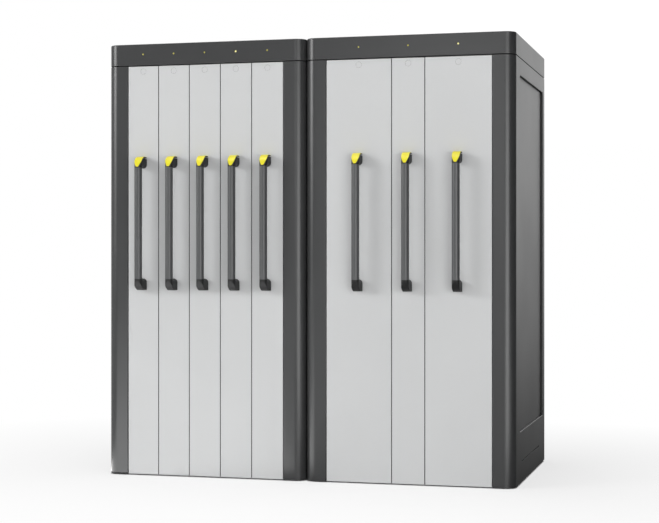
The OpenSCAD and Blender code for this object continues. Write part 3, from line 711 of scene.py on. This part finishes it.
# Top covers: deep-folded steel headers with the same rounded front corners as the posts, welded,
# ground and painted, and screwed to the head frames from within. Their faces are bare.
top_radius = 0.004
lower_radius = 0.0015
ledge = 0.039
tight_fold = 0.0005
for cover in ("left_top_cover", "right_top_cover"):
    low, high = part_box(cover)

    def cover_outline(drawn_in, z):
        """Give a cover's plan, drawn in by a margin, at a height."""
        front_bend = max(corner_radius - drawn_in, tight_fold)
        rear_bend = max(fold_radius - drawn_in, tight_fold)
        plan = bent_path([(low.x + drawn_in, low.y + drawn_in, front_bend),
                          (high.x - drawn_in, low.y + drawn_in, front_bend),
                          (high.x - drawn_in, high.y - drawn_in, rear_bend),
                          (low.x + drawn_in, high.y - drawn_in, rear_bend)], steps=16)
        return [(x, y, z) for x, y in plan]

    rows = [cover_outline(steel_sheet, high.z - steel_sheet), cover_outline(steel_sheet, low.z + steel_sheet),
            cover_outline(ledge, low.z + steel_sheet), cover_outline(ledge, low.z)]
    for turn in quarter(3):
        rows.append(cover_outline(lower_radius * (1.0 - math.sin(turn)),
                                  low.z + lower_radius * (1.0 - math.cos(turn))))
    for turn in quarter(4):
        rows.append(cover_outline(top_radius * (1.0 - math.cos(turn)),
                                  high.z - top_radius * (1.0 - math.sin(turn))))
    shape = bmesh.new()
    closed_skin(shape, rows)
    piece(cover + "_sheet", shape, housing_coat, "housing", "housing_paint", cover)


# Indicator lamps: small domed yellow lenses in thin black bezels, pressed into the headers, one
# over each pull-out. Two of them are lit.
def lens(name, colour, glow):
    """Tinted plastic lens with faint prisms inside, and a glow where its lamp is on."""
    glass, tree, surface, place = new_finish(name)
    prisms = add(tree, "ShaderNodeTexVoronoi", {"Vector": place, "Scale": 900.0}).outputs["Distance"]
    tone = toned(tree, prisms, shaded(colour, 1.0, 0.75))
    wire(tree, surface, {
        "Base Color": tone,
        "Emission Color": tone,
        "Emission Strength": glow,
        "Roughness": 0.22,
        "Normal": relief(tree, prisms, strength=0.2)})
    return glass


lens_share = 0.9
lamp_tree, inlet = new_tree("indicator_lamp", "Radius", "Proud")
ball = add(lamp_tree, "GeometryNodeMeshUVSphere", {"Segments": 28, "Rings": 16, "Radius": inlet["Radius"]})
flatness = reckon(lamp_tree, "DIVIDE", inlet["Proud"], inlet["Radius"])
dome_scale = add(lamp_tree, "ShaderNodeCombineXYZ", {"X": lens_share, "Y": flatness, "Z": lens_share})
dome = add(lamp_tree, "GeometryNodeTransform", {"Geometry": ball.outputs["Mesh"],
                                                "Scale": dome_scale.outputs[0]})
at_points(lamp_tree, inlet, dome.outputs["Geometry"])
bezel_tree, inlet = new_tree("lamp_bezel", "Radius", "Thickness")
bezel = hoop(bezel_tree, 32, inlet["Radius"], 10, share(bezel_tree, inlet["Thickness"], 0.5))
at_points(bezel_tree, inlet, tilted(bezel_tree, bezel, (quarter_turn, 0.0, 0.0)))
lamp_radius = 0.0045
lamp_proud = 0.002
bezel_thick = 0.0011
lit = (3, 7)
lamp_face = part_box("left_top_cover")[0].y
lamp_spots = [Vector(((low.x + high.x) / 2, lamp_face, (low.z + high.z) / 2))
              for low, high in solid_boxes("indicator_lamps")]
dim_spots = [spot for index, spot in enumerate(lamp_spots) if index not in lit]
lit_spots = [lamp_spots[index] for index in lit]
dim_lens = lens("dim_lens", (0.50, 0.46, 0.10), 0.05)
lit_lens = lens("lit_lens", (0.95, 0.88, 0.35), 0.6)
grow("lamps_dim", lamp_tree, dim_spots, dim_lens, "housing", "lamp_lens", "indicator_lamps",
     Radius=lamp_radius, Proud=lamp_proud)
grow("lamps_lit", lamp_tree, lit_spots, lit_lens, "housing", "lamp_lens",
     Radius=lamp_radius, Proud=lamp_proud)
grow("lamp_bezels", bezel_tree, lamp_spots, foot_plastic, "housing", "foot_plastic", Radius=lamp_radius,
     Thickness=bezel_thick)

# Fixed rails: cold-rolled steel channels with turned-in lips, zinc-plated, screwed to the base
# and head frames below and above each pull-out.
flat_turn = math.radians(0.5)
rail_edge = 0.0007


def solids_of(node, keep=lambda low, high: True):
    """Copy those solids of a CAD node whose box is wanted, with their flat faces whole."""
    shape = merged_copy(node)
    for solid in islands(shape):
        if not keep(*extent([vertex.co for vertex in solid])):
            bmesh.ops.delete(shape, geom=solid, context="VERTS")
    bmesh.ops.dissolve_limit(shape, angle_limit=flat_turn, verts=shape.verts, edges=shape.edges)
    return shape


piece("fixed_rails_zinc", solids_of("fixed_rails"), zinc_plate, "housing", "slide_steel", "fixed_rails",
      edge=rail_edge)

# Lock magnets: turned steel pot magnets on flanges, plated, screwed to the back panels. The CAD
# solids stay, as they show only through an open pull-out.
repaint(zinc_plate, "holding_magnets")

# Middle rails: double-flanged drawn steel members that run in the fixed rail and the carriage
# rail and travel half as far as the pull-out.
pull_outs = range(1, 9)
for number in pull_outs:
    piece(f"slide_rail_{number}_zinc", solids_of(f"slide_rail_{number}"), zinc_plate, f"slide_{number}",
          "slide_steel", f"slide_rail_{number}", edge=rail_edge)

# Carriages: welded frames of rectangular steel tube and folded shelves, painted light grey, with
# round retaining bars along both sides of each shelf and zinc-plated rails at the top and foot.
carriage_coat = powder_coat("carriage_coat", ((0.60, 0.61, 0.62), (0.66, 0.67, 0.68)), 0.5)
bar_tree, inlet = new_tree("retaining_bar", "Radius", "Length")
rod = cylinder(bar_tree, 20, inlet["Radius"], inlet["Length"])
collar = cylinder(bar_tree, 20, share(bar_tree, inlet["Radius"], 1.35), share(bar_tree, inlet["Radius"], 0.8))
collar_rise = reckon(bar_tree, "SUBTRACT", share(bar_tree, inlet["Length"], 0.5),
                     share(bar_tree, inlet["Radius"], 0.4))
upright_bar = joined(bar_tree, rod, *both_ends(bar_tree, collar, collar_rise))
at_points(bar_tree, inlet, tilted(bar_tree, upright_bar, (quarter_turn, 0.0, 0.0)))
bar_width = 0.008
rail_width = 0.046
plate_thick = 0.010
frame_edge = 0.0008


def alike(one, other, play=1e-4):
    """Tell whether two lengths are the same within a tenth of a millimetre."""
    return abs(one - other) < play


def is_bar(low, high):
    """Tell a retaining bar by its section."""
    return alike(high.x - low.x, bar_width) and alike(high.z - low.z, bar_width)


def is_metal(low, high):
    """Tell a rail or the round lock plate by its box."""
    plate = high.y - low.y < plate_thick and alike(high.x - low.x, high.z - low.z)
    return plate or alike(high.x - low.x, rail_width)


def is_frame(low, high):
    """Tell a painted member of the frame by its being neither of the others."""
    return not (is_bar(low, high) or is_metal(low, high))


for number in pull_outs:
    node = f"carriage_{number}"
    rides_on = f"pullout_{number}"
    piece(f"{node}_frame", solids_of(node, is_frame), carriage_coat, rides_on, "carriage_paint", node,
          edge=frame_edge)
    piece(f"{node}_rails", solids_of(node, is_metal), zinc_plate, rides_on, "slide_steel", edge=rail_edge)
    bar_boxes = [box for box in solid_boxes(node) if is_bar(*box)]
    bar_low, bar_high = bar_boxes[0]
    grow(f"{node}_bars", bar_tree, [(low + high) / 2 for low, high in bar_boxes], zinc_plate, rides_on,
         "slide_steel", Radius=bar_width / 2, Length=bar_high.y - bar_low.y)

# Fronts: steel sheets folded round all four edges into shallow pans, painted light grey, with a
# round hole near the top that a flush plug of the same colour closes. Thin black strips on both
# upright edges and a black ring round the plug are painted shade that darkens the joints and the
# gap round the plug.
front_coat = powder_coat("front_coat", ((0.630, 0.637, 0.640), (0.645, 0.652, 0.655)), 0.5, 0.3)
front_sheet = 0.002
front_bend = 0.0015
front_corner = 0.0015
front_lip = 0.022
rim_bend = 0.001
rim_break = 0.0003
plug_radius = 0.0135
plug_gap = 0.0005
plug_drop = 0.024
plug_edge = plug_radius - plug_gap
plug_flange = plug_radius + front_sheet
plug_profile = ((plug_edge - 0.0009, 0.0), (plug_edge - 0.0003, 0.0002), (plug_edge, 0.0008),
                (plug_edge, 0.0021), (plug_flange, 0.0021), (plug_flange, 0.0041))
round_steps = 40
# Black strips behind the upright edges and a black ring round the plug: painted shade in the joints.
shade_strip_start = 0.0018
shade_strip_thick = 0.0006
shade_ring_drop = 0.0004
shade_ring_section = ((plug_edge, shade_ring_drop), (plug_radius, shade_ring_drop), (plug_radius, front_sheet),
                (plug_edge, front_sheet))
inwards = Vector((0.0, 1.0, 0.0))
sideways = Vector((1.0, 0.0, 0.0))
upwards = Vector((0.0, 0.0, 1.0))


def circles(centre, along, profile):
    """Turn a profile of (radius, distance along) pairs about an axis that is square to the X axis."""
    turns = [2.0 * math.pi * step / round_steps for step in range(round_steps)]
    third = along.cross(sideways)
    return [[centre + along * distance + (sideways * math.cos(turn) + third * math.sin(turn)) * radius
             for turn in turns] for radius, distance in profile]


for number in pull_outs:
    low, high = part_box(f"front_{number}")
    rides_on = f"pullout_{number}"
    depth = high.y - low.y
    plug_spot = Vector(((low.x + high.x) / 2, low.y, high.z - plug_drop))

    def front_outline(drawn_in, into):
        """Give a front's outline, drawn in by a margin, at a depth behind its face."""
        outline = rounded_box(low.xz, high.xz, front_corner, -drawn_in, steps=4)
        return [(x, low.y + into, z) for x, z in outline]

    rows = [front_outline(front_bend * (1.0 - math.sin(turn)), front_bend * (1.0 - math.cos(turn)))
            for turn in quarter(5)]
    rows += [front_outline(0.0, depth - rim_bend), front_outline(rim_break, depth - rim_break),
             front_outline(rim_bend, depth), front_outline(front_lip, depth)]
    shape = bmesh.new()
    face_edge = skin_all(shape, rows)[0]
    hole = circles(plug_spot, inwards, [(plug_radius, 0.0)])[0]
    fill(shape, face_edge, ring(shape, hole))
    piece(f"front_{number}_pan", shape, front_coat, rides_on, "front_paint", f"front_{number}",
          sheet=front_sheet, outward=-inwards)
    shape = bmesh.new()
    closed_skin(shape, circles(plug_spot, inwards, plug_profile))
    piece(f"front_{number}_plug", shape, front_coat, rides_on, "front_paint")
    # The black strips and the ring darken the joints and the plug's gap as painted shade.
    shape = bmesh.new()
    strip = bent_path([(low.y + shade_strip_start, 0.0, 0.0), (low.y + shade_strip_start, shade_strip_thick, shade_strip_thick / 2),
                       (high.y, shade_strip_thick, shade_strip_thick / 2), (high.y, 0.0, 0.0)], steps=3)
    for edge_x, out in ((low.x, -1.0), (high.x, 1.0)):
        closed_skin(shape, [[(edge_x + out * proud, y, z) for y, proud in strip]
                            for z in (low.z + front_bend, high.z - front_bend)])
    shade_ring = skin_all(shape, circles(plug_spot, inwards, shade_ring_section))
    skin(shape, shade_ring[-1], shade_ring[0])
    piece(f"front_{number}_gap_shade_strips", shape, black_rubber, rides_on, "black_rubber")

# Handles: a drawn aluminium tube with a dark satin coat between two caps of black moulded plastic.
# The caps stand on the front on a round foot, bend into a collar round the tube, which runs on into
# their bends, and are rounded off at their outer corner.
handle_coat = powder_coat("handle_coat", ((0.058, 0.060, 0.062), (0.066, 0.068, 0.070)), 0.38, 0.62)
cap_plastic = moulded("cap_plastic", (0.014, 0.0143, 0.0147), 0.5, gloss=0.25)
tube_radius = 0.0176
tube_edge = 0.0005
tube_out = 0.063
cap_half = 0.0175
cap_tip = 0.0003
cap_flat = 0.033
cap_bulge = 0.010
cap_leg = 0.053
cap_end = 0.068
cap_bend = 0.012
cap_edge = 0.0016
cap_slices = 24
button_thick = 0.006
button_room = 0.0034
button_gap = 0.003
nose_margin = 0.001
axis_drop = cap_leg - cap_half
bend_axis = cap_half + cap_bend
nose_drop = tube_out + cap_half - cap_flat
nose_low = -nose_drop - nose_margin
nose_radius = nose_drop ** 2 / (4.0 * cap_bulge) + cap_bulge / 2.0
nose_in = (nose_radius - cap_bulge) * math.sqrt(0.5)
nose_axis = Vector((cap_flat + nose_drop / 2.0 - nose_in, -nose_drop / 2.0 - nose_in))
tube_end = nose_drop + nose_margin + button_gap
slices = [cap_half * math.sin(math.radians(180.0 * step / cap_slices - 90.0))
          for step in range(cap_slices + 1)]


def swell_at(x):
    """Give how far the round front of a cap stands before its tube's axis, at a distance from its middle."""
    return max(math.sqrt(max(cap_half ** 2 - x ** 2, 0.0)), cap_tip)


def softened(x):
    """Give how far a cap's side edge is rounded down at a distance from its middle."""
    beyond = max(0.0, (abs(x) - (cap_half - cap_edge)) / cap_edge)
    return cap_edge * (1.0 - math.sqrt(max(0.0, 1.0 - beyond ** 2)))


def nose_line(heel, depth, front, lowest, steps=14):
    """Follow a cap's flat end and nose at a depth, from a heel to its front or its lowest point."""
    radius = nose_radius - depth
    start = math.asin((-depth - nose_axis.y) / radius)
    end = math.asin((lowest - nose_axis.y) / radius)
    if front < nose_axis.x + radius:
        end = max(end, math.acos((front - nose_axis.x) / radius))
    line = [Vector((heel, -depth))]
    for step in range(steps + 1):
        turn = start + (end - start) * step / steps
        line.append(nose_axis + Vector((math.cos(turn), math.sin(turn))) * radius)
    return line


def cap_section(x, cut, lowest):
    """Outline of a cap at a distance from its middle: (out from the front, up from its outer end)."""
    swell = swell_at(x)
    front = tube_out + swell
    outline = nose_line(0.0, cut + softened(x), front, lowest)
    shelf = outline[-1].y
    outline += [Vector((front, shelf)), Vector((front, -cap_end)), Vector((tube_out - swell, -cap_end))]
    inner = bend_axis - swell
    for turn in quarter(8):
        outline.append(Vector((tube_out - bend_axis + inner * math.cos(turn),
                               -axis_drop - bend_axis + inner * math.sin(turn))))
    outline.append(Vector((0.0, -axis_drop - swell)))
    return outline


def lofted(shape, section, across, middle, face, end, up=1.0):
    """Join the sections across a cap or button and close both ends."""
    closed_skin(shape, [[(middle + x, face - out, end + up * rise) for out, rise in section(x)]
                        for x in across])
    bmesh.ops.remove_doubles(shape, verts=shape.verts, dist=same_spot)


for number in pull_outs:
    low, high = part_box(f"handle_{number}")
    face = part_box(f"front_{number}")[0].y
    middle = (low.x + high.x) / 2
    handle_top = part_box(f"release_button_{number}")[1].z
    tube_top = handle_top - low.z - tube_end
    shape = bmesh.new()
    closed_skin(shape, circles(Vector((middle, face - tube_out, low.z)), upwards, [
        (tube_radius - tube_edge, tube_end), (tube_radius, tube_end + tube_edge),
        (tube_radius, tube_top - tube_edge), (tube_radius - tube_edge, tube_top)]))
    piece(f"handle_{number}_bar", shape, handle_coat, f"pullout_{number}", "handle_black", f"handle_{number}")
    shape = bmesh.new()
    lofted(shape, lambda x: cap_section(x, button_thick + button_room, -tube_end),
           slices, middle, face, handle_top)
    lofted(shape, lambda x: cap_section(x, 0.0, nose_low), slices, middle, face, low.z, up=-1.0)
    piece(f"handle_{number}_caps", shape, cap_plastic, f"pullout_{number}", "handle_black")

# Release buttons: thin covers of yellow moulded plastic over the flat end and the nose of each upper
# cap, clipped to black carriers, which a stem with a spring guides in the cap.
button_plastic = moulded("button_plastic", (0.90, 0.80, 0.03), 0.35, grain=900.0, depth=0.00008)
cover_thick = 0.0010
cover_softness = 0.6
carrier_step = 0.0004
carrier_slices = [x * (1.0 - carrier_step / cap_half) for x in slices]


def button_section(x, outer, inner, drawn_in):
    """Outline of a layer of a button between two depths, in the terms of a cap's outline."""
    front = tube_out + swell_at(x) - drawn_in
    upper, under = [nose_line(button_gap + drawn_in, depth, front, nose_low + drawn_in)
                    for depth in (outer, inner)]
    return upper + [Vector((front, under[-1].y))] + under[::-1]


def cover_section(x):
    """Outline of a button's yellow cover at a distance from its middle."""
    return button_section(x, softened(x) * cover_softness, cover_thick, 0.0)


def carrier_section(x):
    """Outline of a button's black carrier at a distance from its middle."""
    return button_section(x, cover_thick, button_thick, carrier_step)


for number in pull_outs:
    low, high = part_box(f"release_button_{number}")
    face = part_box(f"front_{number}")[0].y
    middle = (low.x + high.x) / 2
    rides_on = f"button_{number}"
    shape = bmesh.new()
    lofted(shape, cover_section, slices, middle, face, high.z)
    piece(f"button_{number}_cap", shape, button_plastic, rides_on, "button_yellow",
          f"release_button_{number}")
    shape = bmesh.new()
    lofted(shape, carrier_section, carrier_slices, middle, face, high.z)
    piece(f"button_{number}_carrier", shape, foot_plastic, rides_on, "foot_plastic")
